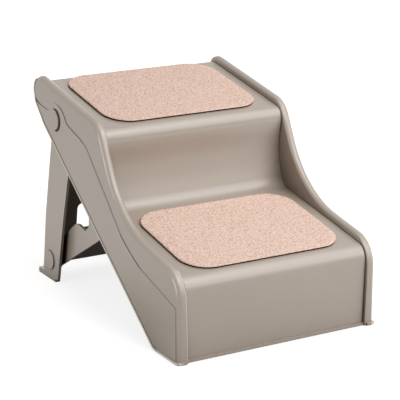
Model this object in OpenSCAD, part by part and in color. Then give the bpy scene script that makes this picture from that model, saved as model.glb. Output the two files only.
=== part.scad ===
// Folding two-step pet stairs: a one-piece moulded step shell with raised side
// rails, two carpet treads, a rear leg frame that folds into the shell, and an
// inner brace that locks the leg open.
// X runs across the steps, Y from the front to the back, Z up.

/* [Step shell] */
// Width across the side bands
shell_w = 378; // [300:2:460]
// Front-to-back length from the rail fronts to the rail ends
shell_l = 531; // [500:1:570]
// Height of the lower tread's nose corner
tread_1_z = 137.8; // [125:0.2:150]
// Rise from the lower nose corner to the upper one
rise = 185.3; // [178:0.1:195]
// Forward slope of both treads
tilt = 10.5; // [6:0.5:12]
// Distance of the lower riser behind the rail fronts
riser_1_y = 6; // [4:0.5:10]
// Place of the upper nose along the shell, as a share of its length
nose_2_share = 0.5122; // [0.49:0.002:0.53]
// How far the upper nose stands in front of its riser
nose_over = 9; // [4:0.5:14]
// Rounding radius of the lower nose
nose_1_r = 26; // [16:1:34]
// Rounding radius of the upper nose
nose_2_r = 20; // [14:1:22]
// Radius of the cove between the lower tread and the riser
cove_r = 32; // [20:1:40]
// Moulded wall thickness
wall = 4; // [3:0.1:4.5]

/* [Side rails] */
// Height of the rails above the treads
rail_h = 11.5; // [10:0.5:16]
// Rail width at the treads
rail_w = 14.5; // [14.2:0.1:18]
// Outer rounding of the rails
rail_out_r = 8; // [6:0.2:8.2]
// Inner rounding of the rails
rail_in_r = 6; // [4:0.2:6]
// Bend radius at the front of the rails
rail_front_r = 52; // [36:1:60]
// Bend radius of the hollow sweep between the steps
rail_sweep_r = 185; // [140:1:190]
// Bend radius above the upper nose
rail_top_r = 50; // [40:1:56]
// Radius of the round rail end
rail_end_r = 28; // [22:1:32]
// Angle of the steep stretch between the steps
steep = 63.5; // [60:0.5:68]
// Distance of the upper rail bend behind the upper nose
rail_bend = 7.3; // [4:0.1:14]
// Step of the raised side panel over the upper band
panel_step = 1.2; // [0.8:0.1:2]
// Height of the rim along the panel's edge
rim_step = 0.8; // [0.5:0.1:1.5]
// Width of that rim
rim_w = 4; // [3:0.5:6]
// Length of the side's flat foot before the rear edge starts
flat_l = 82; // [76:0.5:90]

/* [Carpet pads] */
// Distance from the shell's sides to the pads
pad_margin = 39; // [34:1:60]
// Distance from the riser to the back edge of the lower pad
pad_1_back = 45.3; // [40:0.5:70]
// Distance from the back edge of the shell to the upper pad
pad_2_back = 10; // [8:0.5:30]
// Corner radius of the pads
pad_r = 48; // [20:1:70]
// Thickness of the carpet pile
pile_t = 3; // [2:0.2:6]
// Thickness of the backing under the pile
backing_t = 1.6; // [1:0.1:3]
// Distance from a nose to the front edge of its pad
pad_set = 22.5; // [18:0.5:28]

/* [Rear leg] */
// Height of the brace pivot above the floor
pivot_h = 38; // [36:0.5:42]
// Backward lean of the open leg
leg_lean = 9.8; // [8:0.1:12]
// Place of the leg hinge between the upper nose and the rail ends, as a share
hinge_share = 0.66; // [0.65:0.005:0.68]
// Hinge drop below the upper nose corner
hinge_drop = 12.1; // [10:0.1:14]
// Thickness of the leg's side walls
leg_t = 5; // [4:0.2:5.4]
// Thickness of the leg's rear web
web_t = 3; // [2.5:0.1:4]
// Radius of the hinge pins
pin_r = 9; // [7:0.5:10]
// Radius of the hinge pin heads
head_r = 18.5; // [15:0.5:20]

/* [Brace] */
// Height of the latch bar over the corner under the upper riser
bar_up = 1.2; // [0:0.1:3]
// Thickness of the brace arms
arm_t = 5; // [4:0.2:5.4]
// Radius of the latch bar
bar_r = 7; // [5:0.5:8]
// Radius of the brace pins
brace_pin_r = 8; // [6:0.5:9]
// Radius of the brace pin heads
brace_head_r = 17.8; // [14:0.2:18.5]

/* [Hidden] */

// Angles
half_turn = 180;
full_turn = 360;
square_a = 90;

// Colours
shell_c = [0.66, 0.61, 0.57];
pad_c = [0.88, 0.75, 0.68];
dark_c = [0.16, 0.14, 0.13];

// Clearances and overruns
run_gap = 0.05;
side_gap = 1;
arm_gap = 8.2;
latch_gap = 0.4;
seat_gap = 0.3;
over = 20;

// Number of facets of true round parts, and points in each profile arc
$fn = 48;
front_n = 9;
sweep_n = 11;
cove_n = 7;
under_n = 2;
top_n = 9;
end_n = 8;

// Small sizes of the shell
base_gap = 1.5;
lip_h = 5;
lip_out = 3;
skirt_in = 15;
skirt_r = 8;
under_r = 10;
small_r = 1;
under_h = 18;
heel_r = 30;
kink_r = 60;
kink_a = 46;
layer_a = 22.5;
rib_t = 3;
rib_d = 14;
rib_xs_share = [-0.33, -0.165, 0, 0.165, 0.33];
cross_rib_d = 10;
blank_share = 0.776;
kink_l = 47.7;
foot_boss_r = 9;
foot_boss_h = 40;
foot_boss_y = 18;
foot_boss_rear_y = 50;
foot_r = 7;
foot_stem_r = 3;
foot_stem_h = 12;

seam_share = 0.61;
seam_front_share = 0.69;
seam_reach_share = 1.5;
recess_boss_share = 1.6;
recess_shift = 4.5;
recess_gap = 1.8;
rail_wall = 9;
rib_reach_share = 0.78;
cross_share = [0.3, 0.8];
head_in = 3;
head_proud = 2;
brace_head_in = 2;
brace_head_proud = 2;
hook_xs_share = [-0.21, 0.21];
hook_w = 12;
hook_t = 3.6;
hook_lip = 5;
hook_rise = 42;
pile_edge = 1;
backing_in = 1.2;
strip_share = 0.25;
strip_w = 24;

// Leg profile: backward offset, distance down the leg, corner radius, all as
// shares of the leg length
leg_shares = [
    [0.062, -0.03, 0.02], [0.085, 0.386, 0.3], [0.1, 0.72, 0.3], [0.09, 1.115, 0.01],
    [-0.13, 1.1, 0.02], [-0.161, 0.622, 0.3], [-0.2, 0.26, 0.05], [-0.07, 0.03, 0.05]];
// Arm profile: distance along the arm, offset above it, corner radius, all as
// shares of the arm length
arm_shares = [
    [-0.02, 0.075, 0.03], [0.239, 0.081, 0.1], [0.489, 0.071, 0.03], [0.535, 0.045, 0.02],
    [0.605, -0.036, 0.02], [0.68, -0.034, 0.02], [0.735, 0.03, 0.03], [0.8, 0.06, 0.04],
    [1.03, 0.035, 0.02], [1.03, -0.035, 0.02], [0.9, -0.16, 0.04], [0.77, -0.18, 0.04],
    [-0.02, -0.065, 0.03]];
leg_hub_r = 17;
foot_front = 22;
foot_rear = 50;
foot_w = 9;
foot_h = 8;
sole_t = 1.5;
tube_r = 13;
tube_t = 2;
tip_in = 13.3;
tip_l = 3;
tip_out = 1;
slit = 2;
slit_l = 12;
web_place_share = 0.08;
web_low_share = 0.12;
web_high_share = 1.08;
web_rib_share = [0.12, 0.62, 0.95];
web_rib_d = 4.5;
window_r = 10;
windows_share = [[0.05, 0.325, 0.665, 0.86], [0.05, 0.29, 0.3, 0.58]];
brace_boss_r = 14;
arm_hub_r = 18;
arm_head_r = 9;
bar_room = 20;
tie_share = [0.42, -0.03];
tie_r = 8;

// Derived places
half = shell_w / 2;
pad_w = shell_w - pad_margin * 2;
nose_2_y = shell_l * nose_2_share;
face_x = half + panel_step;
rail_in_x = half - rail_w;
slope = tan(tilt);
tread_2_z = tread_1_z + rise;
riser_2_y = nose_2_y + nose_over;
hinge_y = nose_2_y + (shell_l - nose_2_y) * hinge_share;
hinge_z = tread_2_z - hinge_drop;
bend_y = nose_2_y + rail_bend;
bend_z = tread_2_z + rail_h + slope * rail_bend;
rear_y = shell_l - skirt_in;
cap_y = shell_l - rail_end_r;
cap_z = bend_z + slope * (cap_y - bend_y) - rail_end_r / cos(tilt);
kink = [cap_y + rail_end_r * sin(kink_a) - kink_l * cos(kink_a),
        cap_z - rail_end_r * cos(kink_a) - kink_l * sin(kink_a)];
back_a = atan2(kink[1] - base_gap, kink[0] - flat_l);
blank_y = shell_l * blank_share;
blank_z = base_gap + (blank_y - flat_l - over) * tan(back_a);
pad_1_l = (riser_2_y - riser_1_y) / cos(tilt) - pad_set - pad_1_back;
pad_2_l = (rear_y - nose_2_y) / cos(tilt) - pad_set - pad_2_back;
leg_out_x = half - wall - side_gap + seat_gap;
leg_in_x = leg_out_x - leg_t;
arm_out_x = leg_in_x - arm_gap;
arm_in_x = arm_out_x - arm_t;
tip_x = leg_in_x - tip_in;
leg_l = (hinge_z - pivot_h) / cos(leg_lean);
web_u = leg_l * web_place_share;
foot_pivot_y = hinge_y + leg_l * sin(leg_lean);
foot_pivot_z = pivot_h;
foot_x = half - wall - foot_boss_r + side_gap;
bar_y = riser_2_y + wall + hook_t + latch_gap + bar_r;
bar_z = tread_1_z + slope * (riser_2_y - riser_1_y) + bar_up;
brace_l = norm([foot_pivot_y - bar_y, bar_z - foot_pivot_z]);
brace_rise = atan2(bar_z - foot_pivot_z, foot_pivot_y - bar_y);
mid_y = (foot_pivot_y + foot_rear - lip_out) / 2;

// Geometry helpers
function unit(v) = v / norm(v);
// Point where the line through p at angle a meets the line through q at angle b
function cross_at(p, a, q, b) =
    let (u = [cos(a), sin(a)], v = [cos(b), sin(b)], d = q - p)
    p + u * (d[0] * v[1] - d[1] * v[0]) / (u[0] * v[1] - u[1] * v[0]);
// Points of the arc of radius r that rounds corner b between a and c
function round_corner(a, b, c, r, n) =
    let (u = unit(a - b), v = unit(c - b), h = acos(u * v) / 2,
         m = b + unit(u + v) * r / sin(h), s = b + u * r / tan(h), e = b + v * r / tan(h),
         a0 = atan2(s[1] - m[1], s[0] - m[0]), a1 = atan2(e[1] - m[1], e[0] - m[0]),
         b0 = a1 - a0, d = b0 > half_turn ? b0 - full_turn : b0 < -half_turn ? b0 + full_turn : b0)
    [for (i = [0 : n - 1]) m + r * [cos(a0 + d * i / (n - 1)), sin(a0 + d * i / (n - 1))]];
// Path through corners; each corner is [point, radius, number of points]
function rounded_path(c) = [for (i = [0 : len(c) - 1])
    each (c[i][1] == 0 ? [c[i][0]] :
          round_corner(c[(i + len(c) - 1) % len(c)][0], c[i][0], c[(i + 1) % len(c)][0],
                       c[i][1], c[i][2]))];

// Side profile of the rail crest, taken in by t
function rail_path(t, end_z) =
    let (crest = [bend_y, bend_z] + t * [sin(tilt), -cos(tilt)],
         wall_line = [bend_y, bend_z] + t * [sin(steep), -cos(steep)],
         lower = [nose_2_y, tread_2_z - rise + rail_h + slope * (nose_2_y - riser_1_y)]
                 + t * [sin(tilt), -cos(tilt)])
    rounded_path([
        [[t, base_gap], 0],
        [cross_at([t, 0], 90, lower, tilt), rail_front_r - t, front_n],
        [cross_at(lower, tilt, wall_line, steep), rail_sweep_r + t, sweep_n],
        [cross_at(wall_line, steep, crest, tilt), rail_top_r - t, top_n],
        [cross_at(crest, tilt, [shell_l - t, 0], 90), rail_end_r - t, end_n],
        [[shell_l - t, end_z], 0]]);

// Side profile of the steps, taken in by t
function step_path(t, end_z) =
    let (low = [riser_1_y, tread_1_z] + t * [sin(tilt), -cos(tilt)],
         top = [nose_2_y, tread_2_z] + t * [sin(tilt), -cos(tilt)],
         under_z = tread_2_z - nose_2_r - under_h)
    rounded_path([
        [[riser_1_y + t, base_gap], 0],
        [cross_at([riser_1_y + t, 0], 90, low, tilt), max(nose_1_r - t, small_r), front_n],
        [cross_at([riser_2_y + t, 0], 90, low, tilt), cove_r + t, cove_n],
        [[riser_2_y + t, under_z], under_r, under_n],
        [[nose_2_y + t, under_z + under_h], under_r, under_n],
        [cross_at([nose_2_y + t, 0], 90, top, tilt), max(nose_2_r - t, small_r), top_n],
        [cross_at([rear_y - t, 0], 90, top, tilt), max(skirt_r - t, small_r), end_n],
        [[rear_y - t, end_z], 0]]);

// Lower edge of the side panels, moved up into the panel by t
function edge_path(t) =
    let (foot = [flat_l, base_gap] + t * [-sin(back_a), cos(back_a)],
         up = [cap_y + (rail_end_r - t) * sin(kink_a), cap_z - (rail_end_r - t) * cos(kink_a)])
    rounded_path([
        [[0, base_gap + t], 0],
        [cross_at([0, base_gap + t], 0, foot, back_a), heel_r, end_n],
        [cross_at(foot, back_a, up, kink_a), kink_r, cove_n],
        [up, 0]]);

// Everything below and behind the panel edge
module under_cut(t = 0) {
    edge = edge_path(t);
    arc = [for (i = [0 : end_n]) let (a = (kink_a - square_a) * (1 - i / end_n))
           [cap_y, cap_z] + (rail_end_r - t) * [cos(a), sin(a)]];
    polygon(concat([for (i = [1 : len(edge) - 1]) edge[i]], arc,
        [[shell_l + over, cap_z], [shell_l + over, -over], [edge[1][0], -over]]));
}

// Extrudes a side profile across the steps, from x0 to x1
module across(x0, x1) {
    translate([x0, 0, 0]) rotate([square_a, 0, square_a]) linear_extrude(x1 - x0) children();
}

// Side outline of a rail or of the steps, closed below the panel's edge
function closed_outline(path) =
    concat(path, [[blank_y, blank_z], [flat_l + over, base_gap]]);

// One rail with the side under it: outlines stacked across its width, taken in
// near both faces to round its crest. Each end is made of triangles that fan out
// from the two lower corners. Side is 1 for +X and -1 for -X.
module rail_plate(side) {
    layers = concat(
        [for (a = [square_a : -layer_a : 0])
            [rail_in_x + rail_in_r * (1 - sin(a)), rail_in_r * (1 - cos(a))]],
        [for (a = [0 : layer_a : square_a])
            [half - rail_out_r * (1 - sin(a)), rail_out_r * (1 - cos(a))]]);
    outlines = [for (c = layers) closed_outline(rail_path(c[1], blank_z))];
    m = len(outlines[0]);
    last = len(layers) - 1;
    turn = 1 + front_n + floor(sweep_n / 2);
    cap = [for (k = [0 : m - 4]) [k, k + 1, k < turn ? m - 1 : m - 2], [turn, m - 2, m - 1]];
    points = [for (i = [0 : last]) each
        [for (q = outlines[i]) [side * layers[i][0], q[0], q[1]]]];
    faces = concat(
        [for (i = [0 : last - 1]) each [for (k = [0 : m - 1])
            let (a = i * m + k, b = i * m + (k + 1) % m)
            each [[a, b + m, a + m], [a, b, b + m]]]],
        [for (f = cap) [f[2], f[1], f[0]]], [for (f = cap) [for (k = f) last * m + k]]);
    polyhedron(points, side > 0 ? faces :
        [for (f = faces) [for (k = [len(f) - 1 : -1 : 0]) f[k]]]);
}

// Cuts away what lies under the panel edges and inside the shell
module opened() {
    difference() {
        children();
        across(-half - over, half + over) under_cut();
        hollow();
    }
}

// Outline of the raised side panel, under the curved line of the band
module panel_outline() {
    line = rounded_path([
        [[shell_l, hinge_z + head_r], 0],
        [[hinge_y + head_r * seam_reach_share, hinge_z + pin_r], head_r, end_n],
        [[hinge_y - head_r * seam_reach_share, hinge_z], head_r, end_n],
        [[nose_2_y + rail_top_r, tread_2_z - cove_r], rail_top_r, end_n],
        [[nose_2_y * seam_share, tread_1_z], rail_sweep_r * seam_share, sweep_n],
        [[rail_out_r, tread_1_z * seam_front_share], 0]]);
    polygon(concat(line, [[rail_out_r, base_gap], [shell_l, base_gap]]));
    translate([hinge_y - recess_shift, hinge_z]) circle(head_r * recess_boss_share);
}

// Space under the steps, with walls of thickness t
module hollow_profile(t) {
    path = step_path(t, -over);
    polygon(concat([[path[0][0], -over]], path));
}

module hollow() {
    across(-half + wall, half - wall) hollow_profile(wall);
    path = rail_path(rail_wall, -over);
    for (x0 = [-half + wall, rail_in_x + wall])
        across(x0, x0 + rail_w - wall * 2) polygon(concat([[path[0][0], -over]], path));
}

// Ribs under the treads and behind the risers, along and across
module ribs() {
    for (share = rib_xs_share)
        across(share * shell_w - rib_t / 2, share * shell_w + rib_t / 2) difference() {
            hollow_profile(wall / 2);
            hollow_profile(wall + rib_d);
            under_cut();
            translate([0, base_gap - over * 2]) square([flat_l, over * 2]);
            translate([riser_2_y + wall + side_gap, bar_z - bar_room])
                square([bar_room * 2, bar_room * 4]);
        }
    for (start = [[riser_1_y, tread_1_z], [nose_2_y, tread_2_z]], share = cross_share)
        across(-half * rib_reach_share, half * rib_reach_share)
            translate(start) rotate(tilt) translate([share * pad_1_l, -wall - cross_rib_d])
                square([rib_t, cross_rib_d + wall / 2]);
}

// Raised side panels, their rims, and the lip around the floor edge
module side_panels() {
    outer = edge_path(0);
    inner = edge_path(rim_w);
    for (side = [0, 1]) mirror([side, 0, 0]) {
        across(half - wall / 2, face_x) difference() {
            panel_outline();
            under_cut();
        }
        across(half - wall / 2, face_x + rim_step)
            polygon(concat(outer, [for (i = [len(inner) - 1 : -1 : 0]) inner[i]]));
        translate([0, 0, base_gap]) linear_extrude(lip_h) {
            polygon(concat([[rail_in_x, -lip_out]],
                round_corner([0, -lip_out], [face_x + rim_step, -lip_out],
                    [face_x + rim_step, flat_l], rail_out_r + lip_out, end_n),
                [[face_x + rim_step, flat_l - heel_r], [half - wall / 2, flat_l - heel_r],
                 [half - wall / 2, rail_out_r], [rail_in_x, rail_out_r]]));
        }
    }
    translate([-rail_in_x, riser_1_y - lip_out, base_gap])
        cube([rail_in_x * 2, lip_out + wall / 2, lip_h]);
}

// Places of the rubber feet under the shell
module at_feet() {
    for (x = [-foot_x, foot_x], y = [foot_boss_y, foot_boss_rear_y]) translate([x, y, base_gap])
        children();
}

// One hook that takes the latch bar from above: a stem on the riser's inner
// face, a floor under the bar and a low lip behind it
module hook_profile() {
    front = riser_2_y + wall / 2;
    floor_z = bar_z - bar_r - latch_gap;
    back = bar_y + bar_r + latch_gap;
    translate([front, floor_z - hook_lip]) square([wall / 2 + hook_t, hook_rise + hook_lip]);
    translate([front, floor_z - hook_lip]) square([back + hook_lip - front, hook_lip]);
    translate([back, floor_z - hook_lip]) square([hook_lip, hook_lip + bar_r]);
}

module step_shell() {
    color(shell_c) difference() {
        union() {
            opened() rail_plate(1);
            opened() rail_plate(-1);
            opened() across(-rail_in_x - wall / 2, rail_in_x + wall / 2)
                polygon(closed_outline(step_path(0, blank_z)));
            difference() {
                side_panels();
                hollow();
            }
            ribs();
            for (share = hook_xs_share)
                across(share * shell_w - hook_w / 2, share * shell_w + hook_w / 2) hook_profile();
            at_feet() cylinder(r = foot_boss_r, h = foot_boss_h);
        }
        at_feet() translate([0, 0, -over]) cylinder(r = foot_stem_r, h = foot_stem_h + over);
        for (side = [0, 1]) mirror([side, 0, 0]) {
            across(half - wall - over, half + over) translate([hinge_y, hinge_z])
                circle(pin_r + run_gap);
            across(face_x - head_in, half + over) union() {
                translate([hinge_y, hinge_z]) circle(head_r + seat_gap);
                translate([hinge_y - recess_shift, hinge_z]) circle(head_r + recess_gap);
            }
        }
    }
}

// Flat pad with rounded corners and a soft upper edge
module soft_plate(w, l, r, t, e) {
    module plan(inset) {
        for (x = [-1, 1], y = [-1, 1])
            translate([x * (w / 2 - r), y * (l / 2 - r)]) circle(r - inset, $fn = 96);
        square([w - r * 2, l - inset * 2], center = true);
        square([w - inset * 2, l - r * 2], center = true);
    }
    linear_extrude(t - e) plan(0);
    linear_extrude(t) plan(e);
    translate([0, 0, t - e]) {
        for (x = [-1, 1], y = [-1, 1]) translate([x * (w / 2 - r), y * (l / 2 - r), 0])
            rotate_extrude($fn = 96) translate([r - e, 0]) circle(e, $fn = 24);
        for (y = [-1, 1]) translate([-w / 2 + r, y * (l / 2 - e), 0]) rotate([0, square_a, 0])
            cylinder(r = e, h = w - r * 2, $fn = 24);
        for (x = [-1, 1]) translate([x * (w / 2 - e), l / 2 - r, 0]) rotate([square_a, 0, 0])
            cylinder(r = e, h = l - r * 2, $fn = 24);
    }
}

// Puts a pad of length l on the tread that starts at a nose corner
module on_tread(start, l, height) {
    translate([0, start[0], start[1]]) rotate([tilt, 0, 0])
        translate([0, pad_set + l / 2, height]) children();
}

module pad(start, l) {
    color(pad_c) on_tread(start, l, backing_t)
        soft_plate(pad_w, l, pad_r, pile_t, pile_edge);
}

module backing(start, l) {
    color(dark_c) on_tread(start, l, 0) linear_extrude(backing_t) difference() {
        offset_plan(l, backing_in);
        for (x = [-1, 1]) translate([x * pad_w * strip_share, 0])
            square([pad_w * strip_share, l - backing_in * 4 - strip_w * 2], center = true);
    }
}

module offset_plan(l, inset) {
    for (x = [-1, 1], y = [-1, 1])
        translate([x * (pad_w / 2 - pad_r), y * (l / 2 - pad_r)]) circle(pad_r - inset);
    square([pad_w - pad_r * 2, l - inset * 2], center = true);
    square([pad_w - inset * 2, l - pad_r * 2], center = true);
}

module lower_pad() { pad([riser_1_y, tread_1_z], pad_1_l); }
module upper_pad() { pad([nose_2_y, tread_2_z], pad_2_l); }
module lower_backing() { backing([riser_1_y, tread_1_z], pad_1_l); }
module upper_backing() { backing([nose_2_y, tread_2_z], pad_2_l); }

// Frame of the open leg: origin on the hinge, second axis down to the foot
module leg_frame() {
    translate([hinge_y, hinge_z]) rotate(leg_lean) children();
}

module leg_side() {
    leg_frame() {
        polygon(rounded_path([for (c = leg_shares) [[c[0], -c[1]] * leg_l, c[2] * leg_l, end_n]]));
        circle(leg_hub_r);
    }
    translate([foot_pivot_y - foot_front, sole_t]) square([foot_front + foot_rear, foot_h]);
}

module leg_web(t, low, high, x0, x1) {
    translate([0, hinge_y, hinge_z]) rotate([leg_lean, 0, 0])
        translate([x0, web_u, -leg_l * high]) cube([x1 - x0, t, leg_l * (high - low)]);
}

// Window through the web, from x0 to x1, between two shares of the leg length
module web_window(x0, x1, low, high) {
    translate([0, hinge_y, hinge_z]) rotate([leg_lean, 0, 0])
        translate([0, web_u + over, 0]) rotate([square_a, 0, 0]) linear_extrude(over * 2)
            polygon(concat(
                round_corner([x1, -leg_l * high], [x0, -leg_l * high], [x0, -leg_l * low],
                    window_r, end_n),
                round_corner([x0, -leg_l * high], [x0, -leg_l * low], [x1, -leg_l * low],
                    window_r, end_n),
                round_corner([x0, -leg_l * low], [x1, -leg_l * low], [x1, -leg_l * high],
                    window_r, end_n),
                round_corner([x1, -leg_l * low], [x1, -leg_l * high], [x0, -leg_l * high],
                    window_r, end_n)));
}

module rear_leg() {
    color(shell_c) difference() {
        union() {
            for (side = [0, 1]) mirror([side, 0, 0]) {
                across(leg_in_x, leg_out_x) leg_side();
                across(arm_out_x + side_gap / 2, leg_out_x - leg_t / 2)
                    translate([foot_pivot_y, foot_pivot_z]) circle(brace_boss_r);
                across(leg_out_x - foot_w, leg_out_x)
                    translate([foot_pivot_y - foot_front, sole_t])
                        square([foot_front + foot_rear, foot_h]);
            }
            across(-leg_out_x + leg_t / 2, leg_out_x - leg_t / 2)
                translate([hinge_y, hinge_z]) circle(tube_r);
            leg_web(web_t, web_low_share, web_high_share, -leg_in_x - leg_t / 2,
                leg_in_x + leg_t / 2);
            for (share = web_rib_share)
                leg_web(web_rib_d, share, share + web_t / leg_l, -leg_in_x - leg_t / 2,
                    leg_in_x + leg_t / 2);
        }
        for (side = [0, 1], w = windows_share) mirror([side, 0, 0])
            web_window(w[0] * shell_w, w[1] * shell_w, w[2], w[3]);
        across(-leg_out_x - over, leg_out_x + over) translate([hinge_y, hinge_z])
            circle(pin_r + run_gap);
        across(-tip_x - seat_gap, tip_x + seat_gap) translate([hinge_y, hinge_z])
            circle(tube_r - tube_t);
        across(-leg_out_x - over, leg_out_x + over) translate([foot_pivot_y, foot_pivot_z])
            circle(brace_pin_r + run_gap);
        for (side = [0, 1]) mirror([side, 0, 0])
            across(leg_out_x - brace_head_in, leg_out_x + over)
                translate([foot_pivot_y, foot_pivot_z]) circle(brace_head_r + seat_gap);
    }
}

module arm_side() {
    translate([foot_pivot_y, foot_pivot_z]) rotate(half_turn - brace_rise) {
        polygon(rounded_path([for (c = arm_shares) [[c[0], -c[1]] * brace_l, c[2] * brace_l, end_n]]));
        circle(arm_hub_r);
        translate([brace_l, 0]) circle(arm_head_r);
    }
}

module brace() {
    color(shell_c) difference() {
        union() {
            for (side = [0, 1]) mirror([side, 0, 0]) across(arm_in_x, arm_out_x) arm_side();
            across(-arm_out_x + arm_t / 2, arm_out_x - arm_t / 2)
                translate([bar_y, bar_z]) circle(bar_r);
            across(-arm_out_x + arm_t / 2, arm_out_x - arm_t / 2)
                translate([foot_pivot_y, foot_pivot_z]) rotate(half_turn - brace_rise)
                    translate([brace_l * tie_share[0], brace_l * tie_share[1]]) circle(tie_r);
        }
        across(-arm_out_x - over, arm_out_x + over) translate([foot_pivot_y, foot_pivot_z])
            circle(brace_pin_r + run_gap);
    }
}

// Snap pin pointing to -X from a head whose outer face is at x1; grip is where
// the shank ends and the snap tip starts
module snap_pin(y, z, x1, head_radius, thick, shank_r, grip) {
    difference() {
        translate([0, y, z]) rotate([0, square_a, 0]) {
            translate([0, 0, x1 - thick]) cylinder(r = head_radius, h = thick);
            translate([0, 0, grip]) cylinder(r = shank_r, h = x1 - grip);
            translate([0, 0, grip - tip_l]) cylinder(r = shank_r + tip_out, h = tip_l);
        }
        for (a = [0, square_a]) translate([grip - tip_l - over, y, z]) rotate([a, 0, 0])
            translate([0, -slit / 2, -over]) cube([over + slit_l, slit, over * 2]);
    }
}

module hinge_pin() {
    color(shell_c) snap_pin(hinge_y, hinge_z, face_x + head_proud, head_r,
        head_in + head_proud, pin_r, tip_x);
}
module brace_pin() {
    color(shell_c) snap_pin(foot_pivot_y, foot_pivot_z, leg_out_x + brace_head_proud,
        brace_head_r, brace_head_in + brace_head_proud, brace_pin_r, arm_in_x - side_gap);
}
module left_hinge_pin() { mirror([1, 0, 0]) hinge_pin(); }
module right_hinge_pin() { hinge_pin(); }
module left_brace_pin() { mirror([1, 0, 0]) brace_pin(); }
module right_brace_pin() { brace_pin(); }

module front_feet() {
    color(dark_c) at_feet() {
        translate([0, 0, -base_gap]) cylinder(r = foot_r, h = base_gap);
        translate([0, 0, -base_gap]) cylinder(r = foot_stem_r, h = base_gap + foot_stem_h - side_gap);
    }
}

module sole() {
    color(dark_c) translate([leg_out_x - foot_w, foot_pivot_y - foot_front, 0])
        cube([foot_w, foot_front + foot_rear, sole_t]);
}
module left_sole() { mirror([1, 0, 0]) sole(); }
module right_sole() { sole(); }

translate([0, -mid_y, 0]) {
    step_shell();
    lower_pad();
    upper_pad();
    lower_backing();
    upper_backing();
    rear_leg();
    brace();
    left_hinge_pin();
    right_hinge_pin();
    left_brace_pin();
    right_brace_pin();
    front_feet();
    left_sole();
    right_sole();
}
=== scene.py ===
import math

import bmesh
import bpy
import numpy as np
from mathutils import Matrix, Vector


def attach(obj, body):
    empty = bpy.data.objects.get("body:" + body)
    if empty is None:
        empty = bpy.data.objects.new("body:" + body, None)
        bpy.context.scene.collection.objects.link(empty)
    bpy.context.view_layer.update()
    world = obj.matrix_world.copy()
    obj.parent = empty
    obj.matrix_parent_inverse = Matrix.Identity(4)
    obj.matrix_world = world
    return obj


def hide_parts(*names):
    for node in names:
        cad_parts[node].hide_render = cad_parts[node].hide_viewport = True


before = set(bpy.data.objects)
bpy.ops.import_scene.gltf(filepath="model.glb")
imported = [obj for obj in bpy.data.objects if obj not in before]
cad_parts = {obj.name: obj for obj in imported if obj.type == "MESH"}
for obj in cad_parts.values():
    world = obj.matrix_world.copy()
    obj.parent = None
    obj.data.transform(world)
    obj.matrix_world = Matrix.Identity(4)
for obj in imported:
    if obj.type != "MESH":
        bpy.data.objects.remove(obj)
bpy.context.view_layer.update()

# Folding pet stairs: a smooth skin, panels, beads and carpets over the solids, and a white studio.

# Sizes are in millimetres: x from the middle, y from the front of the rails, z from the floor.
# The frame is in metres, with its origin MID_Y behind the front of the rails.
MM = 0.001
MID_Y = 268.544
UPRIGHT = math.pi / 2
TILT = math.radians(10.5)

# Half widths, and how far the rails' inner faces draw in towards the floor
HALF = 189.0
FACE = 190.2
RAIL_IN = 174.5
DRAW_IN = 3.2
BASE_Z = 1.5

# Round end of a rail, and where the crest and the side's lower edge leave it
CAP = np.array([503.0, 349.1])
CAP_R = 28.0
CAP_LAST = math.radians(-40)
CAP_EDGE = math.radians(-44)

# Rail crest, seen from the side: a point of its lower stretch, and the corner of the steep one
RAIL_LOW = np.array([272.0, 198.6])
RAIL_BEND = np.array([279.3, 335.95])
RAIL_STEEP = math.radians(63.5)
RAIL_REAR_Y = CAP[0] + CAP_R
RAIL_FRONT_R = 52.0
RAIL_SWEEP_R = 185.0
RAIL_BEND_R = 50.0

# Steps, seen from the side: sharp corners of the noses, rear apron, and the curve of the riser
NOSE_1 = np.array([6.0, 137.8])
NOSE_1_R = 26.0
NOSE_2 = np.array([272.0, 323.1])
NOSE_2_R = 25.0
APRON_LOW = np.array([516.0, 322.0])
APRON_R = 8.0
COVE_R = 26.0
RISER_FOOT = np.array([281.0, 245.0])
RISER_LEAN = math.radians(74)
RISER_PULL_LOW = np.array([286.0, 257.0])
RISER_PULL_HIGH = np.array([275.0, 273.0])
RISER_TOP = np.array([NOSE_2[0], 301.0])
RISER_FIRST = 0.08

# Points along each stretch, the same on rail and steps so that the two paths pair up
FRONT_N = 8
NOSE_N = 16
TREAD_N = 6
SWEEP_N = 22
RISER_N = 12
BEND_N = 16
TOP_N = 14
END_N = 24

# Skin of the shell: its height over the solid, its lower edge, and the rounds of its section
LIFT = 0.3
SKIN_HEEL = np.array([60.0, BASE_Z])
SKIN_CAP_R = 18.0
SKIN_CAP_AT = math.radians(-46)
SIDE_MID_SHARE = 0.6
SIDE_MID_DEEP = 12.0
LEAST_RAIL = 6.0
OUTER_R = 8.0
INNER_R = 6.0
INNER_R_SHARE = 0.52
ROOT_R = 2.4
ROOT_R_SHARE = 0.2
TREAD_X = (-160, -120, -60, 0)

# Raised side panel: its curved upper line, its lower edge and the recess for the hinge disc, whose
# dark floor disc is painted shade
SEAM = [(7.5, 94), (40, 102), (90, 112), (141, 134), (187, 160), (222, 190), (258, 223),
        (290, 255), (316, 282), (339, 296), (377, 307), (395, 314), (408, 329), (426, 338.5),
        (446, 337), (460, 328), (473, 323), (495, 325.5), (513, 329), (526.9, 336.4)]
SEAM_N = 6
SEAM_X = HALF + 0.75
SLOPE = math.radians(35.7)
SLOPE_FOOT = np.array([82.0, BASE_Z])
EDGE_FIRST_Y = SEAM[0][0]
HEEL_Y = 60.0
HEEL_R = 30.0
NECK_R = 60.0
PANEL_BACK = HALF - 1.5
PANEL_FRONT = FACE + 0.12
PANEL_INSET = 0.6
PANEL_CAP_INSET = 0.8
PANEL_CAP_DEGREES = (-29, -42)
PANEL_BEVEL = 0.55
RECESS = (438.5, 311.0)
RECESS_R = 20.3
CUTTER_X = 192.0
CUTTER_DEEP = 12.0
WELL_R = 20.2
WELL_X = HALF + 0.55
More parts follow.
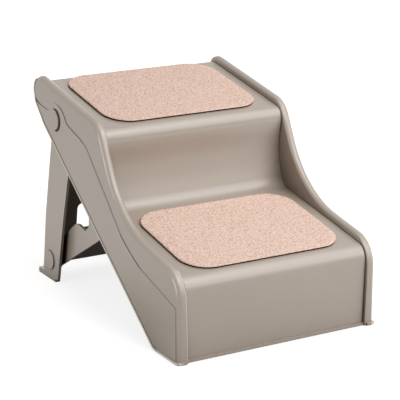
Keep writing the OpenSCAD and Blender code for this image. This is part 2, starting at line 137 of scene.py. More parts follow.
WELL_THICK = 1.5

# Beads, some lighter as painted highlights, and creases, thin dark lines of painted shade: radii, and
# how far apart their points are
BEAD_STEP = 3.0
CREASE_R = 0.45
CAP_CREASE_R = 0.5
CORNER_R = 1.0
CORNER_OUT = 0.6
CORNER_CREASE_N = 116
RAIL_BEAD_IN = 1.0
RAIL_BEAD_DEEP = 0.9
RAIL_BEAD_N = 22
RIM_INSET = 1.0
RIM_FROM = math.radians(58)
RIM_LOW = 2.1
RIM_X = HALF - 1.2
RIM_OUT = 2.2
RIM_OUT_Z = (340.0, 310.0)
RIM_CAP_FROM = (490.0, 326.0)
RIM_CAP_DEGREES = (-30, 0, 40, 58)
RIM_CAP_RADII = (1.5, 2.2, 1.8, 0.6)
RIM_EDGE_Y = (0, 45, 110)
RIM_EDGE_RADII = (2.2, 2.2, 1.6)
BASE_RIM_R = 1.7
BASE_RIM_LOW = 1.9
BASE_RIM_X = FACE + 0.1
BASE_RIM_OUT = 1.2
BASE_RIM_FRONT = -1.6
BASE_RIM_STEP = 2.0
RIM_CREASE_INSET = 4.4
RIM_CREASE_LOW = 6.0
RIM_CREASE_X = HALF + 1.3
CAP_CREASE_X = HALF - 0.5
CREASE_GAP_Z = (323.0, 329.0)
CREASE_JUMP_Z = 326.0
CREASE_TRIM = 1.0
LIP_X = 172.0
LIP_N = 40
LIP_R = 1.7
LIP_Y = 5.2
LIP_CREASE_Y = 5.6
LIP_CREASE_Z = BASE_Z + 4.2

# Flange round the rear of a rail end
FLANGE_IN_R = 16.0
FLANGE_TOP = CAP_R - 0.6
FLANGE_DEEP = 9.0
FLANGE_OUTER = (1.2, 0.2)
FLANGE_DEGREES = (-46, 66)
FLANGE_FALL_FROM = 44.0

# Foot and front edge of the leg
FOOT_PIN_Y = 490.09
FOOT_Y = (FOOT_PIN_Y - 21.6, FOOT_PIN_Y + 49.6)
FOOT_Z = (1.7, 6.4)
FOOT_X = (182.0, 184.85)
LEG_EDGE = [(460.2, 12), (429.4, 134), (403.6, 224)]
LEG_EDGE_X = 183.9
LEG_EDGE_R = 0.9
LEG_EDGE_STEP = 4.0

# Carpet pads
PAD_WIDTH = 300.0
PAD_CORNER_R = 48.0
PAD_THICK = 3.0
PAD_LIFT = 1.6
PAD_SETBACK = 22.5
LOWER_PAD_LENGTH = 211.0
UPPER_PAD_LENGTH = 215.0
PAD_EDGE_R = 1.6
PAD_EDGE_SHARE = 0.52
PAD_UNDERSIDE = 1.35
PAD_SINK = 0.1
PILE_STEP = 1.1
TUFT = 0.17
TUFT_SOFT = 0.1
TUFT_SIDEWAYS = 0.14
SOFT_CELLS = 5


# Shapes in the plane

def unit(v):
    """The vector with a length of 1."""
    return v / np.linalg.norm(v)


def meet(p, a, q, b):
    """Where the line through p at angle a crosses the line through q at angle b."""
    p, q = np.array(p, float), np.array(q, float)
    u = np.array([math.cos(a), math.sin(a)])
    v = np.array([math.cos(b), math.sin(b)])
    d = q - p
    return p + u * (d[0] * v[1] - d[1] * v[0]) / (u[0] * v[1] - u[1] * v[0])


def corner(a, b, c, r, n):
    """n points of the arc of radius r that rounds corner b between a and c."""
    u, v = unit(a - b), unit(c - b)
    h = math.acos(float(np.clip(u @ v, -1, 1))) / 2
    m = b + unit(u + v) * r / math.sin(h)
    s, e = b + u * r / math.tan(h), b + v * r / math.tan(h)
    a0 = math.atan2(*(s - m)[::-1])
    a1 = math.atan2(*(e - m)[::-1])
    d = (a1 - a0 + 3 * math.pi) % (2 * math.pi) - math.pi
    t = a0 + d * np.linspace(0, 1, n)
    return m + r * np.stack([np.cos(t), np.sin(t)], 1)


def line(a, b, n):
    """n points strictly between a and b."""
    t = np.linspace(0, 1, n + 2)[1:-1, None]
    return a + (b - a) * t


def bezier(a, b, c, d, t):
    """Points of the curve from a to d that is pulled towards b and c."""
    t = t[:, None]
    return (1 - t) ** 3 * a + 3 * (1 - t) ** 2 * t * b + 3 * (1 - t) * t ** 2 * c + t ** 3 * d


def catmull(points, n):
    """A smooth curve through the points, with n steps from each to the next."""
    p = np.array(points, float)
    p = np.vstack([2 * p[0] - p[1], p, 2 * p[-1] - p[-2]])
    out = []
    for i in range(1, len(p) - 2):
        for t in np.linspace(0, 1, n, endpoint=False):
            out.append(0.5 * (2 * p[i] + (p[i + 1] - p[i - 1]) * t
                              + (2 * p[i - 1] - 5 * p[i] + 4 * p[i + 1] - p[i + 2]) * t ** 2
                              + (3 * p[i] - p[i - 1] - 3 * p[i + 1] + p[i + 2]) * t ** 3))
    out.append(p[-2])
    return np.array(out)


def resample(path, step):
    """The same path with points about a step apart."""
    p = np.array(path, float)
    run = np.concatenate([[0], np.cumsum(np.linalg.norm(np.diff(p, axis=0), axis=1))])
    at = np.linspace(0, run[-1], max(2, int(run[-1] / step)))
    return np.stack([np.interp(at, run, p[:, k]) for k in range(p.shape[1])], 1)


def normals(p):
    """The upward normals of a path that runs towards the rear."""
    d = np.gradient(p, axis=0)
    d /= np.linalg.norm(d, axis=1)[:, None]
    return np.stack([-d[:, 1], d[:, 0]], 1)


def around_cap(angle, radius):
    """Points round the middle of the rail end."""
    return CAP + radius * np.stack([np.cos(angle), np.sin(angle)], -1)


def rail_and_steps():
    """The rail crest and the step surface, seen from the side, as two paths whose points pair up."""
    front = np.array([0.0, BASE_Z])
    front_top = meet([0, 0], UPRIGHT, RAIL_LOW, TILT)
    hollow = meet(RAIL_LOW, TILT, RAIL_BEND, RAIL_STEEP)
    rear = meet(RAIL_BEND, TILT, [RAIL_REAR_Y, 0], UPRIGHT)
    r1 = corner(front, front_top, hollow, RAIL_FRONT_R, NOSE_N)
    r2 = corner(front_top, hollow, RAIL_BEND, RAIL_SWEEP_R, SWEEP_N)
    r3 = corner(hollow, RAIL_BEND, rear, RAIL_BEND_R, BEND_N)
    r4 = around_cap(np.linspace(UPRIGHT + TILT, CAP_LAST, END_N), CAP_R)
    rail = np.vstack([[front], line(front, r1[0], FRONT_N), r1, line(r1[-1], r2[0], TREAD_N), r2,
                      line(r2[-1], r3[0], RISER_N), r3, line(r3[-1], r4[0], TOP_N), r4])
    base = np.array([NOSE_1[0], BASE_Z])
    foot = meet(RISER_FOOT, RISER_LEAN, NOSE_1, TILT)
    back = meet(NOSE_2, TILT, APRON_LOW, UPRIGHT)
    s1 = corner(base, NOSE_1, foot, NOSE_1_R, NOSE_N)
    s2 = corner(NOSE_1, foot, RISER_FOOT, COVE_R, SWEEP_N)
    riser = bezier(s2[-1], RISER_PULL_LOW, RISER_PULL_HIGH, RISER_TOP,
                   np.linspace(RISER_FIRST, 1, RISER_N))
    s3 = corner(RISER_TOP, NOSE_2, back, NOSE_2_R, BEND_N)
    s4 = corner(NOSE_2, back, APRON_LOW, APRON_R, END_N // 2)
    steps = np.vstack([[base], line(base, s1[0], FRONT_N), s1, line(s1[-1], s2[0], TREAD_N), s2,
                       riser, s3, line(s3[-1], s4[0], TOP_N), s4,
                       line(s4[-1], APRON_LOW, END_N // 2 - 1), [APRON_LOW]])
    return rail, steps


def edge_line(inset):
    """The lower edge of the side, moved up into it by the inset, from the front to the rail end."""
    on_slope = SLOPE_FOOT + inset * np.array([-math.sin(SLOPE), math.cos(SLOPE)])
    end = around_cap(CAP_EDGE, CAP_R - inset)
    heel = meet([0, BASE_Z + inset], 0, on_slope, SLOPE)
    neck = meet(on_slope, SLOPE, end, CAP_EDGE + UPRIGHT)
    start = np.array([EDGE_FIRST_Y, BASE_Z + inset])
    return np.vstack([[start], corner(start, heel, neck, HEEL_R, 10),
                      corner(heel, neck, end, NECK_R, 8), [end]])


def rim_profile(inset, low):
    """The edge seen from the side, from the top of the rail end round the heel to the front."""
    arc = around_cap(np.linspace(RIM_FROM, CAP_EDGE, 16), CAP_R - inset)
    path = np.vstack([arc, edge_line(inset)[:0:-1]])
    return [(y, max(z, BASE_Z + low)) for y, z in path if z > BASE_Z + low or y > HEEL_Y]


def inner_face(z):
    """Half the width between the rails at the height of the step surface."""
    return RAIL_IN - LIFT - DRAW_IN * max(0.0, 1 - z / NOSE_1[1])


SEAM_CURVE = catmull(SEAM, SEAM_N)


# Meshes

def place(p):
    """Millimetres from the rail fronts to metres in the frame."""
    q = np.array(p, float)
    q[:, 1] -= MID_Y
    return q * MM


def mesh_object(name, verts, faces, smooth=True):
    """An object from vertices and faces, with its normals turned outwards."""
    me = bpy.data.meshes.new(name)
    me.from_pydata([tuple(v) for v in verts], [], [tuple(f) for f in faces])
    me.update()
    ob = bpy.data.objects.new(name, me)
    bpy.context.scene.collection.objects.link(ob)
    bm = bmesh.new()
    bm.from_mesh(me)
    bmesh.ops.recalc_face_normals(bm, faces=bm.faces)
    bm.to_mesh(me)
    bm.free()
    for p in me.polygons:
        p.use_smooth = smooth
    return ob


def cylinder(name, side, x, centre, radius, deep, vertices):
    """A round plate across the object whose middle is x to the side."""
    bpy.ops.mesh.primitive_cylinder_add(
        vertices=vertices, radius=radius * MM, depth=deep * MM, rotation=(0, UPRIGHT, 0),
        location=(side * x * MM, (centre[0] - MID_Y) * MM, centre[1] * MM))
    ob = bpy.context.object
    ob.name = name
    ob.data.name = name
    return ob


def sweep(name, path, radii, sides=10):
    """A round bead along a path, with its own radius at each point."""
    p = np.array(path, float)
    radii = np.broadcast_to(radii, len(p))
    t = np.gradient(p, axis=0)
    t /= np.linalg.norm(t, axis=1)[:, None]
    # Any direction across the bead will do to start with
    u = np.cross(t[0], (1.0, 0.2, 0.1))
    rings = []
    for q, d, rad in zip(p, t, radii):
        u = unit(u - d * (u @ d))
        w = np.cross(d, u)
        rings += [q + rad * (math.cos(a) * u + math.sin(a) * w)
                  for a in np.linspace(0, 2 * math.pi, sides, endpoint=False)]
    n = len(p)
    faces = []
    for i in range(n - 1):
        a, b = i * sides, (i + 1) * sides
        faces += [(a + k, b + k, b + (k + 1) % sides, a + (k + 1) % sides) for k in range(sides)]
    faces += [tuple(range(sides))[::-1], tuple(range((n - 1) * sides, n * sides))]
    return mesh_object(name, place(rings), faces)


def quarter(x, radius, point, deep, first, last, n):
    """A quarter round: x moves by up to the radius, and the point by up to as much along deep."""
    return [(x + radius * (1 - math.cos(a)), *(point + deep * abs(radius) * (1 - math.sin(a))))
            for a in np.radians(np.linspace(first, last, n))]


def skin_section(crest, crest_up, step, step_up, base):
    """A cross-section of the shell's left half, from its lower edge over the rail to the middle."""
    proud = max(float((crest - step) @ step_up), LEAST_RAIL)
    inner_r = min(INNER_R, proud * INNER_R_SHARE)
    root_r = min(ROOT_R, proud * ROOT_R_SHARE)
    half = HALF + LIFT
    inner = inner_face(step[1])
    mid = base + (crest - crest_up * SIDE_MID_DEEP - base) * SIDE_MID_SHARE
    points = [(-half, *base), (-half, *mid)]
    points += quarter(-half, OUTER_R, crest, -crest_up, 0, 90, 9)
    points += quarter(-inner, -inner_r, crest, -crest_up, 90, 0, 8)
    points += quarter(-inner, root_r, step, step_up, 0, 90, 6)
    return points + [(x, *step) for x in TREAD_X]


def shell_skin():
    """The outer skin of the step shell as one smooth loft."""
    rail, steps = rail_and_steps()
    rail_up, steps_up = normals(rail), normals(steps)
    rail = rail + rail_up * LIFT
    steps = steps + steps_up * LIFT
    run = rail @ np.array([math.cos(SLOPE), math.sin(SLOPE)])
    share = np.maximum.accumulate(np.clip(run / run.max(), 0, 1))
    share[0] = 0
    end = around_cap(SKIN_CAP_AT, SKIN_CAP_R)
    rings = []
    for crest, crest_up, step, step_up, s in zip(rail, rail_up, steps, steps_up, share):
        half = skin_section(crest, crest_up, step, step_up, SKIN_HEEL + (end - SKIN_HEEL) * s)
        rings.append(half + [(-x, y, z) for x, y, z in half[-2::-1]])
    m = len(rings[0])
    faces = [(i * m + k, (i + 1) * m + k, (i + 1) * m + k + 1, i * m + k + 1)
             for i in range(len(rings) - 1) for k in range(m - 1)]
    ob = mesh_object("shell_skin", place([p for ring in rings for p in ring]), faces)
    mod = ob.modifiers.new("normals", "WEIGHTED_NORMAL")
    mod.weight = 80
    return ob


def side_panel(name, side):
    """The raised lower panel of one side, with the round recess for the hinge disc."""
    cap = around_cap(np.radians(np.linspace(*PANEL_CAP_DEGREES, 4)), CAP_R - PANEL_CAP_INSET)
    outline = np.vstack([SEAM_CURVE, cap, edge_line(PANEL_INSET)[::-1]])
    n = len(outline)
    verts = [(side * x, *p) for x in (PANEL_BACK, PANEL_FRONT) for p in outline]
    faces = [tuple(range(n))[::-1], tuple(range(n, 2 * n))]
    faces += [(i, (i + 1) % n, n + (i + 1) % n, n + i) for i in range(n)]
    ob = mesh_object(name, place(verts), faces, smooth=False)
    cutter = cylinder(name + "_cutter", side, CUTTER_X, RECESS, RECESS_R, CUTTER_DEEP, 96)
    mod = ob.modifiers.new("recess", "BOOLEAN")
    mod.operation = "DIFFERENCE"
    mod.solver = "EXACT"
    mod.object = cutter
    bpy.context.view_layer.objects.active = ob
    bpy.ops.object.modifier_apply(modifier="recess")
    bpy.data.objects.remove(cutter)
    bev = ob.modifiers.new("bevel", "BEVEL")
    bev.width = PANEL_BEVEL * MM
    bev.segments = 3
    bev.limit_method = "ANGLE"
    bev.angle_limit = math.radians(40)
    bev.harden_normals = True
    for p in ob.data.polygons:
        p.use_smooth = True
    return ob


def rim_bead(name, side):
    """The bead along the panel's edge, which thins out at both ends of the round rail end."""
    high, low = RIM_OUT_Z
    path = resample([(side * (RIM_X + RIM_OUT * min(1.0, max(0.0, (high - z) / (high - low)))), y, z)
                     for y, z in rim_profile(RIM_INSET, RIM_LOW)], BEAD_STEP)
    y, z = path[:, 1], path[:, 2]
    on_cap = (y > RIM_CAP_FROM[0]) & (z > RIM_CAP_FROM[1])
    degrees = np.degrees(np.arctan2(z - CAP[1], y - CAP[0]))
    radii = np.where(on_cap, np.interp(degrees, RIM_CAP_DEGREES, RIM_CAP_RADII),
                     np.interp(y, RIM_EDGE_Y, RIM_EDGE_RADII))
    return sweep(name, path, radii)


def base_rim(name, side):
    """The bead low along the side that turns round the front corner."""
    z = BASE_Z + BASE_RIM_LOW
    r = OUTER_R + BASE_RIM_OUT
    x = BASE_RIM_X + BASE_RIM_OUT
    start = (side * BASE_RIM_X, *rim_profile(RIM_INSET, BASE_RIM_LOW)[-1])
    turn = [(side * (x - r * (1 - math.cos(a))), BASE_RIM_FRONT + r * (1 - math.sin(a)), z)
            for a in np.linspace(0, UPRIGHT, 8)]
    return sweep(name, resample([start] + turn, BASE_RIM_STEP), BASE_RIM_R)


def edge_creases(label, side):
    """The thin dark lines of painted shade beside the rim on the panel and on the rail end."""
    low, high = CREASE_GAP_Z
    path = [(side * (RIM_CREASE_X if z < CREASE_JUMP_Z else CAP_CREASE_X), y, z)
            for y, z in rim_profile(RIM_CREASE_INSET, RIM_CREASE_LOW) if z < low or z > high]
    path = resample(path, BEAD_STEP)
    below = path[path[:, 2] < CREASE_JUMP_Z - CREASE_TRIM]
    above = path[path[:, 2] > CREASE_JUMP_Z + CREASE_TRIM]
    return [(sweep(label + "_rim_crease", below, CREASE_R), shade_line),
            (sweep(label + "_cap_crease", above, CAP_CREASE_R), deep_shade)]


def cap_plate(name, side):
    """The thin flange that carries the panel's rim round the rear of the rail end."""
    ang = np.radians(np.linspace(*FLANGE_DEGREES, 24))
    fall = FLANGE_DEGREES[1] - FLANGE_FALL_FROM
    verts = []
    for a in ang:
        top = FLANGE_TOP - FLANGE_DEEP * max(0.0, (math.degrees(a) - FLANGE_FALL_FROM) / fall) ** 1.5
        section = [(FLANGE_IN_R, FLANGE_DEEP), (top, FLANGE_DEEP),
                   (top, FLANGE_OUTER[0]), (FLANGE_IN_R, FLANGE_OUTER[1])]
        verts += [(side * (HALF - deep), *around_cap(a, r)) for r, deep in section]
    n = len(ang)
    faces = [(4 * i + k, 4 * i + (k + 1) % 4, 4 * i + 4 + (k + 1) % 4, 4 * i + 4 + k)
             for i in range(n - 1) for k in range(4)]
    faces += [(3, 2, 1, 0), tuple(4 * (n - 1) + k for k in range(4))]
    return mesh_object(name, place(verts), faces, smooth=False)


def foot_rim(name, side):
    """The flat strip along the outer edge of the leg's foot."""
    verts = [(side * x, y, z) for x in FOOT_X for y, z in
             zip((*FOOT_Y, *FOOT_Y[::-1]), (FOOT_Z[0], FOOT_Z[0], FOOT_Z[1], FOOT_Z[1]))]
    faces = [(0, 1, 2, 3), (7, 6, 5, 4), (0, 4, 5, 1), (1, 5, 6, 2), (2, 6, 7, 3), (3, 7, 4, 0)]
    return mesh_object(name, place(verts), faces, smooth=False)


def carpet(name, nose, length, seed):
    """A cut carpet pad with a dense short pile: a fine grid whose points are lifted at random."""
    rng = np.random.default_rng(seed)
    step = PILE_STEP
    nx, ny = int(PAD_WIDTH / step), int(length / step)
    uu, vv = np.meshgrid(np.linspace(-1, 1, nx + 1), np.linspace(-1, 1, ny + 1), indexing="ij")
    x, y = uu * PAD_WIDTH / 2, vv * length / 2
    # Pull the corners of the grid onto the rounded outline
    cx, cy = PAD_WIDTH / 2 - PAD_CORNER_R, length / 2 - PAD_CORNER_R
    dx, dy = np.abs(x) - cx, np.abs(y) - cy
    in_corner = (dx > 0) & (dy > 0)
    dist = np.hypot(dx, dy)
    pull = np.where(in_corner & (dist > 0), np.maximum(dx, dy) / np.maximum(dist, 1e-9), 1.0)
    px = np.where(in_corner, np.sign(x) * (cx + dx * pull), x)
    py = np.where(in_corner, np.sign(y) * (cy + dy * pull), y)
    # Distance from the outline, and the round rise of the pile within it
    ex = np.maximum(np.abs(px) - cx, 0)
    ey = np.maximum(np.abs(py) - cy, 0)
    to_side = np.minimum(PAD_WIDTH / 2 - np.abs(px), length / 2 - np.abs(py))
    edge = np.where((ex == 0) & (ey == 0), to_side, PAD_CORNER_R - np.hypot(ex, ey))
    rise = np.sqrt(np.clip(1 - (1 - np.clip(edge / PAD_EDGE_R, 0, 1)) ** 2, 0, 1))
    # Tufts: fine ones at each point, and softer waves over several points
    tuft = rng.normal(0, TUFT, px.shape)
    coarse = rng.normal(0, 1, (nx // SOFT_CELLS + 3, ny // SOFT_CELLS + 3))
    gi, gj = np.meshgrid(np.arange(nx + 1) / SOFT_CELLS, np.arange(ny + 1) / SOFT_CELLS, indexing="ij")
    i0, j0 = gi.astype(int), gj.astype(int)
    fi, fj = gi - i0, gj - j0
    soft = (coarse[i0, j0] * (1 - fi) * (1 - fj) + coarse[i0 + 1, j0] * fi * (1 - fj)
            + coarse[i0, j0 + 1] * (1 - fi) * fj + coarse[i0 + 1, j0 + 1] * fi * fj)
    z = (PAD_THICK * (PAD_EDGE_SHARE + (1 - PAD_EDGE_SHARE) * rise)
         + (tuft + TUFT_SOFT * soft) * rise - PAD_SINK)
    px = px + rng.normal(0, TUFT_SIDEWAYS, px.shape) * rise
    py = py + rng.normal(0, TUFT_SIDEWAYS, px.shape) * rise
    # Top, sides and underside
    m = ny + 1
    top = np.stack([px, py, z], -1).reshape(-1, 3)
    faces = [(i * m + j, (i + 1) * m + j, (i + 1) * m + j + 1, i * m + j + 1)
             for i in range(nx) for j in range(ny)]
    border = [i * m for i in range(nx)] + [nx * m + j for j in range(ny)]
    border += [i * m + ny for i in range(nx, 0, -1)] + list(range(ny, 0, -1))
    under = top[border].copy()
    under[:, 2] = PAD_UNDERSIDE
    base, nb = len(top), len(border)
    faces += [(border[i], border[(i + 1) % nb], base + (i + 1) % nb, base + i) for i in range(nb)]
    faces.append(tuple(base + i for i in range(nb)))
    # Onto the tread
    pts = np.vstack([top, under])
    along = pts[:, 1] + PAD_SETBACK + length / 2
    up = pts[:, 2] + PAD_LIFT
    world = np.stack([pts[:, 0], nose[0] + along * math.cos(TILT) - up * math.sin(TILT),
                      nose[1] + along * math.sin(TILT) + up * math.cos(TILT)], 1)
    return mesh_object(name, place(world), faces)


# Materials

def srgb(r, g, b):
    """A colour of 0 to 255 as the linear values that nodes take."""
    return tuple(((c / 255 + 0.055) / 1.055) ** 2.4 if c > 10 else c / 255 / 12.92
                 for c in (r, g, b)) + (1.0,)


def shade(colour, factors):
    """The colour with each channel times its factor."""
    return srgb(*[min(255, c * k) for c, k in zip(colour, factors)])


class Nodes:
    """The node tree of a material or world, with short ways to add and join nodes."""

    def __init__(self, owner, shader):
        owner.use_nodes = True
        self.owner = owner
        self.tree = owner.node_tree
        self.shader = self.tree.nodes[shader]

    def add(self, kind, **values):
        """A node with values for its inputs or settings."""
        node = self.tree.nodes.new(kind)
        for key, value in values.items():
            if key in node.inputs:
                node.inputs[key].default_value = value
            else:
                setattr(node, key, value)
        return node

    def join(self, a, out, b, name):
        """A link from an output to an input."""
        self.tree.links.new(a.outputs[out], b.inputs[name])

    def ramp(self, source, out, span, to=(0.0, 1.0), **values):
        """A node that maps the span of an output to another one."""
        node = self.add("ShaderNodeMapRange", **values)
        for key, value in zip(("From Min", "From Max", "To Min", "To Max"), (*span, *to)):
            node.inputs[key].default_value = value
        self.join(source, out, node, "Value")
        return node

    def maths(self, operation, *sources):
        """A maths node fed by pairs of node and output."""
        node = self.add("ShaderNodeMath", operation=operation)
        for k, (source, out) in enumerate(sources):
            self.join(source, out, node, k)
        return node

    def set_shader(self, **values):
        """Shader inputs, with an underscore for each space in their names."""
        for key, value in values.items():
            self.shader.inputs[key.replace("_", " ")].default_value = value


def material(name):
    """The nodes of a new material."""
    return Nodes(bpy.data.materials.new(name), "Principled BSDF")


def plastic(name, colour, rough=0.3, grain=0.05, bevel=0.7, gloss=1.0):
    """Satin moulded plastic: fine grain, softened edges, and painted shade that makes it darker and
    duller in deep places.
    """
    n = material(name)
    co = n.add("ShaderNodeTexCoord")
    fine = n.add("ShaderNodeTexNoise", Scale=2600.0, Detail=3.0)
    broad = n.add("ShaderNodeTexNoise", Scale=9.0, Detail=4.0)
    n.join(co, "Object", fine, "Vector")
    n.join(co, "Object", broad, "Vector")
    patch = n.ramp(broad, "Fac", (0.0, 1.0), (rough - 0.06, rough + 0.07))
    n.join(patch, "Result", n.shader, "Roughness")
    mix = n.add("ShaderNodeMix", data_type="RGBA")
    mix.inputs["A"].default_value = shade(colour, (0.985,) * 3)
    mix.inputs["B"].default_value = shade(colour, (1.015,) * 3)
    n.join(broad, "Fac", mix, "Factor")
    # Painted shade: ambient occlusion turns the colour to a deep brown and takes the gloss away in
    # crevices, under the steps and near the floor.
    deep = n.add("ShaderNodeAmbientOcclusion", samples=8, Distance=0.25)
    is_open = n.ramp(deep, "AO", (0.06, 0.64), interpolation_type="SMOOTHSTEP")
    painted_shade_mix = n.add("ShaderNodeMix", data_type="RGBA")
    painted_shade_mix.inputs["A"].default_value = shade(colour, (0.36, 0.29, 0.24))
    n.join(is_open, "Result", painted_shade_mix, "Factor")
    n.join(mix, "Result", painted_shade_mix, "B")
    n.join(painted_shade_mix, "Result", n.shader, "Base Color")
    round_edge = n.add("ShaderNodeBevel", samples=6, Radius=bevel * MM)
    bump = n.add("ShaderNodeBump", Strength=grain, Distance=0.25 * MM)
    n.join(fine, "Fac", bump, "Height")
    n.join(round_edge, "Normal", bump, "Normal")
    n.join(bump, "Normal", n.shader, "Normal")
    shine = n.maths("MULTIPLY", (is_open, "Result"))
    shine.inputs[1].default_value = gloss
    n.join(shine, "Value", n.shader, "Specular IOR Level")
    return n.owner


def pile(name, colour):
    """Short cut pile: pale tufts with fine darker specks between them."""
    n = material(name)
    co = n.add("ShaderNodeTexCoord")
    tufts = n.add("ShaderNodeTexVoronoi", Scale=620.0)
    fine = n.add("ShaderNodeTexNoise", Scale=430.0, Detail=3.0, Roughness=0.7)
    n.join(co, "Object", tufts, "Vector")
    n.join(co, "Object", fine, "Vector")
    speck = n.ramp(fine, "Fac", (0.37, 0.53))
    mix = n.add("ShaderNodeMix", data_type="RGBA")
    mix.inputs["A"].default_value = shade(colour, (0.78, 0.72, 0.65))
    mix.inputs["B"].default_value = shade(colour, (1.02,) * 3)
    n.join(speck, "Result", mix, "Factor")
    n.join(mix, "Result", n.shader, "Base Color")
    bump = n.add("ShaderNodeBump", Strength=0.5, Distance=0.9 * MM)
    n.join(tufts, "Distance", bump, "Height")
    n.join(bump, "Normal", n.shader, "Normal")
    n.set_shader(Roughness=0.95, Specular_IOR_Level=0.1, Sheen_Weight=0.05, Sheen_Roughness=0.5)
    return n.owner


def paint(ob, mat):
    """The one material of an object."""
    ob.data.materials.clear()
    ob.data.materials.append(mat)


taupe = plastic("taupe_plastic", (175, 161, 147))
# Painted highlight: a lighter copy of the taupe for beads and edges that catch the light.
painted_highlight = plastic("taupe_painted_highlight", (226, 213, 199))
# Painted shade: dark copies of the taupe for the grooves, the hinge recess and the thin crease lines.
deep_shade = plastic("taupe_painted_deep_shade", (66, 56, 48), rough=0.7, bevel=0.1, gloss=0.2)
shade_line = plastic("taupe_painted_shade_line", (92, 82, 74), rough=0.6, bevel=0.1, gloss=0.3)
carpet_mat = pile("carpet_pile", (255, 221, 206))
dark = plastic("dark_backing", (34, 26, 22), rough=0.9, grain=0.2, bevel=0.2, gloss=0.1)
rubber = plastic("foot_rubber", (52, 50, 49), rough=0.7, grain=0.15, bevel=0.6, gloss=0.3)

for node, mat in {
        "step_shell": taupe, "rear_leg": taupe, "brace": taupe, "left_hinge_pin": taupe,
        "right_hinge_pin": taupe, "left_brace_pin": taupe, "right_brace_pin": taupe,
        "lower_backing": dark, "upper_backing": dark, "front_feet": rubber,
        "left_sole": rubber, "right_sole": rubber}.items():
    paint(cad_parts[node], mat)


# Pieces

def on_stairs(ob, mat):
    """Paint a moulded piece and let it ride on the stairs."""
    paint(ob, mat)
    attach(ob, "stairs")


def on_leg(ob, mat):
    """Paint a moulded piece and let it ride on the leg."""
    paint(ob, mat)
    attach(ob, "leg")


def dress_side(label, side):
    """Panel, dark lines of painted shade, beads lighter as painted highlights, rail end, recess with
    painted shade and leg edges of one side.
    """
    on_stairs(side_panel(label + "_side_panel", side), taupe)
    # A thin dark line along the seam, painted shade.
    seam = resample([(side * SEAM_X, *q) for q in SEAM_CURVE[2:-1]], BEAD_STEP)
    on_stairs(sweep(label + "_seam", seam, CREASE_R), shade_line)
    # The rim bead and the base rim are lighter, painted highlights along the edges.
    on_stairs(rim_bead(label + "_rim", side), painted_highlight)
    on_stairs(base_rim(label + "_base_rim", side), painted_highlight)
    # Thin dark lines beside the rim and on the rail end, painted shade.
    for ob, mat in edge_creases(label, side):
        on_stairs(ob, mat)
    on_stairs(cap_plate(label + "_cap_flange", side), taupe)
    # A dark disc at the floor of the hinge recess, painted shade round the hinge disc.
    well_x = WELL_X - WELL_THICK / 2
    on_stairs(cylinder(label + "_hinge_recess", side, well_x, RECESS, WELL_R, WELL_THICK, 72), deep_shade)
    foot = foot_rim(label + "_foot_rim", side)
    # A lighter strip along the leg's front edge, a painted highlight.
    strip = resample([(side * LEG_EDGE_X, *q) for q in LEG_EDGE], LEG_EDGE_STEP)
    on_leg(sweep(label + "_leg_edge", strip, LEG_EDGE_R), painted_highlight)
    on_leg(foot, taupe)


def dress_rail(label, side, edge_mat):
    """The dark line of painted shade at the foot of a rail's inner face, and the bead on its front
    crest.
    """
    rail, steps = rail_and_steps()
    inner = [inner_face(z) for z in steps[:, 1]]
    root = [(side * (x - CORNER_OUT), *(q + v * CORNER_OUT))
            for x, q, v in zip(inner, steps, normals(steps))]
    crest = [(side * (x + RAIL_BEAD_IN), *(q - v * RAIL_BEAD_DEEP))
             for x, q, v in zip(inner, rail, normals(rail))]
    # The corner line is painted shade; the crest bead takes the material it is given.
    for title, path, mat in (("corner_crease", root[:CORNER_CREASE_N], shade_line),
                             ("rail_bead", crest[:RAIL_BEAD_N], edge_mat)):
        on_stairs(sweep(label + "_" + title, resample(path, BEAD_STEP), CORNER_R), mat)


on_stairs(shell_skin(), taupe)
for label, side in (("left", -1), ("right", 1)):
    dress_side(label, side)
# The left rail's crest bead is lighter, a painted highlight; the right one keeps the taupe.
for label, side, edge_mat in (("left", -1, painted_highlight), ("right", 1, taupe)):
    dress_rail(label, side, edge_mat)
# Along the front foot: a lighter lip, a painted highlight, and above it a thin dark line, painted
# shade.
for title, y, z, rad, mat in (("front_lip", LIP_Y, BASE_Z + LIP_R, LIP_R, painted_highlight),
                              ("front_lip_crease", LIP_CREASE_Y, LIP_CREASE_Z, CREASE_R, shade_line)):
    on_stairs(sweep(title, [(x, y, z) for x in np.linspace(-LIP_X, LIP_X, LIP_N)], rad), mat)
for label, nose, length, seed in (("lower", NOSE_1, LOWER_PAD_LENGTH, 3),
                                  ("upper", NOSE_2, UPPER_PAD_LENGTH, 5)):
    pad = carpet(label + "_carpet", nose, length, seed)
    paint(pad, carpet_mat)
    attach(pad, "stairs")
    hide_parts(label + "_pad")


# Stage, light and camera, in metres

FLOOR_SIZE = 30
FLOOR_DROP = 0.0002
WORLD_LEVEL = 0.18
AIM = (0, 0, 0.2)


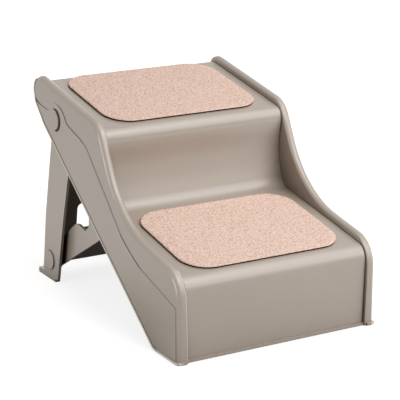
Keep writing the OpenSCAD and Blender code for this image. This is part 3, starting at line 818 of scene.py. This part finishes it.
def white_floor():
    """A floor that keeps the object's shadow and looks white to the camera; in reflections it glows
    too, more away from the object, a painted reflection.
    """
    bpy.ops.mesh.primitive_plane_add(size=FLOOR_SIZE, location=(0, 0, -FLOOR_DROP))
    floor = bpy.context.object
    floor.name = "floor"
    n = material("floor_white")
    n.set_shader(Base_Color=(0.6, 0.6, 0.6, 1), Roughness=1.0, Specular_IOR_Level=0.0,
                 Emission_Color=(1, 1, 1, 1))
    seen = n.add("ShaderNodeLightPath")
    spot = n.add("ShaderNodeTexCoord")
    reach = n.add("ShaderNodeVectorMath", operation="LENGTH")
    n.join(spot, "Object", reach, 0)
    glow = n.ramp(reach, "Value", (0.35, 1.5), (0.8, 1.0), interpolation_type="SMOOTHSTEP")
    # Painted reflection: the floor glows to reflection rays, not at all near the object and more
    # farther off.
    mirrored = n.ramp(reach, "Value", (0.17, 0.46), (0.0, 0.74), interpolation_type="SMOOTHSTEP")
    to_camera = n.maths("MULTIPLY", (seen, "Is Camera Ray"), (glow, "Result"))
    to_gloss = n.maths("MULTIPLY", (seen, "Is Glossy Ray"), (mirrored, "Result"))
    lit = n.maths("MAXIMUM", (to_camera, "Value"), (to_gloss, "Value"))
    n.join(lit, "Value", n.shader, "Emission Strength")
    paint(floor, n.owner)


def studio_world():
    """A dim white light on the object that looks full white to camera, gloss and glass."""
    world = bpy.data.worlds.new("studio")
    bpy.context.scene.world = world
    n = Nodes(world, "Background")
    seen = n.add("ShaderNodeLightPath")
    both = n.maths("MAXIMUM", (seen, "Is Camera Ray"), (seen, "Is Glossy Ray"))
    any_seen = n.maths("MAXIMUM", (both, "Value"), (seen, "Is Transmission Ray"))
    strength = n.ramp(any_seen, "Value", (0.0, 1.0), (WORLD_LEVEL, 1.0))
    n.set_shader(Color=(1, 1, 1, 1))
    n.join(strength, "Result", n.shader, "Strength")


def lamp(name, where, aim, size, power, colour=(1, 1, 1)):
    """A rectangular softbox that faces its aim."""
    data = bpy.data.lights.new(name, "AREA")
    data.shape = "RECTANGLE"
    data.size, data.size_y = size
    data.energy = power
    data.color = colour
    ob = bpy.data.objects.new(name, data)
    bpy.context.scene.collection.objects.link(ob)
    ob.location = where
    ob.rotation_mode = "QUATERNION"
    ob.rotation_quaternion = (Vector(aim) - Vector(where)).to_track_quat("-Z", "Y")


white_floor()
studio_world()
lamp("key_softbox", (1.0, -1.4, 1.5), (0, -0.1, 0.2), (2.0, 2.0), 26.5, (0.97, 0.98, 1.0))
lamp("top_softbox", (0.5, -0.3, 2.2), AIM, (1.4, 1.4), 9)
lamp("high_front_softbox", (0.2, -1.3, 2.0), AIM, (1.2, 0.7), 8)
lamp("front_softbox", (-0.3, -2.4, 1.5), AIM, (1.4, 1.4), 2)
lamp("left_softbox", (-2.4, 0.1, 0.42), (0, 0, 0.18), (1.4, 0.8), 17)
lamp("back_softbox", (0.6, 2.3, 0.7), AIM, (1.2, 0.8), 3)
lamp("right_softbox", (2.0, -0.9, 0.4), AIM, (0.9, 0.7), 3)

cam_data = bpy.data.cameras.new("camera")
cam_data.sensor_width = 36.0
cam_data.lens = 145.08
camera = bpy.data.objects.new("camera", cam_data)
bpy.context.scene.collection.objects.link(camera)
camera.location = (-1.3473, -2.0771 - MID_Y * MM, 0.9683)
camera.rotation_mode = "QUATERNION"
camera.rotation_quaternion = Vector((0.4795, 0.8318, -0.2798)).to_track_quat("-Z", "Y")
bpy.context.scene.camera = camera
bpy.context.scene.view_settings.view_transform = "Standard"
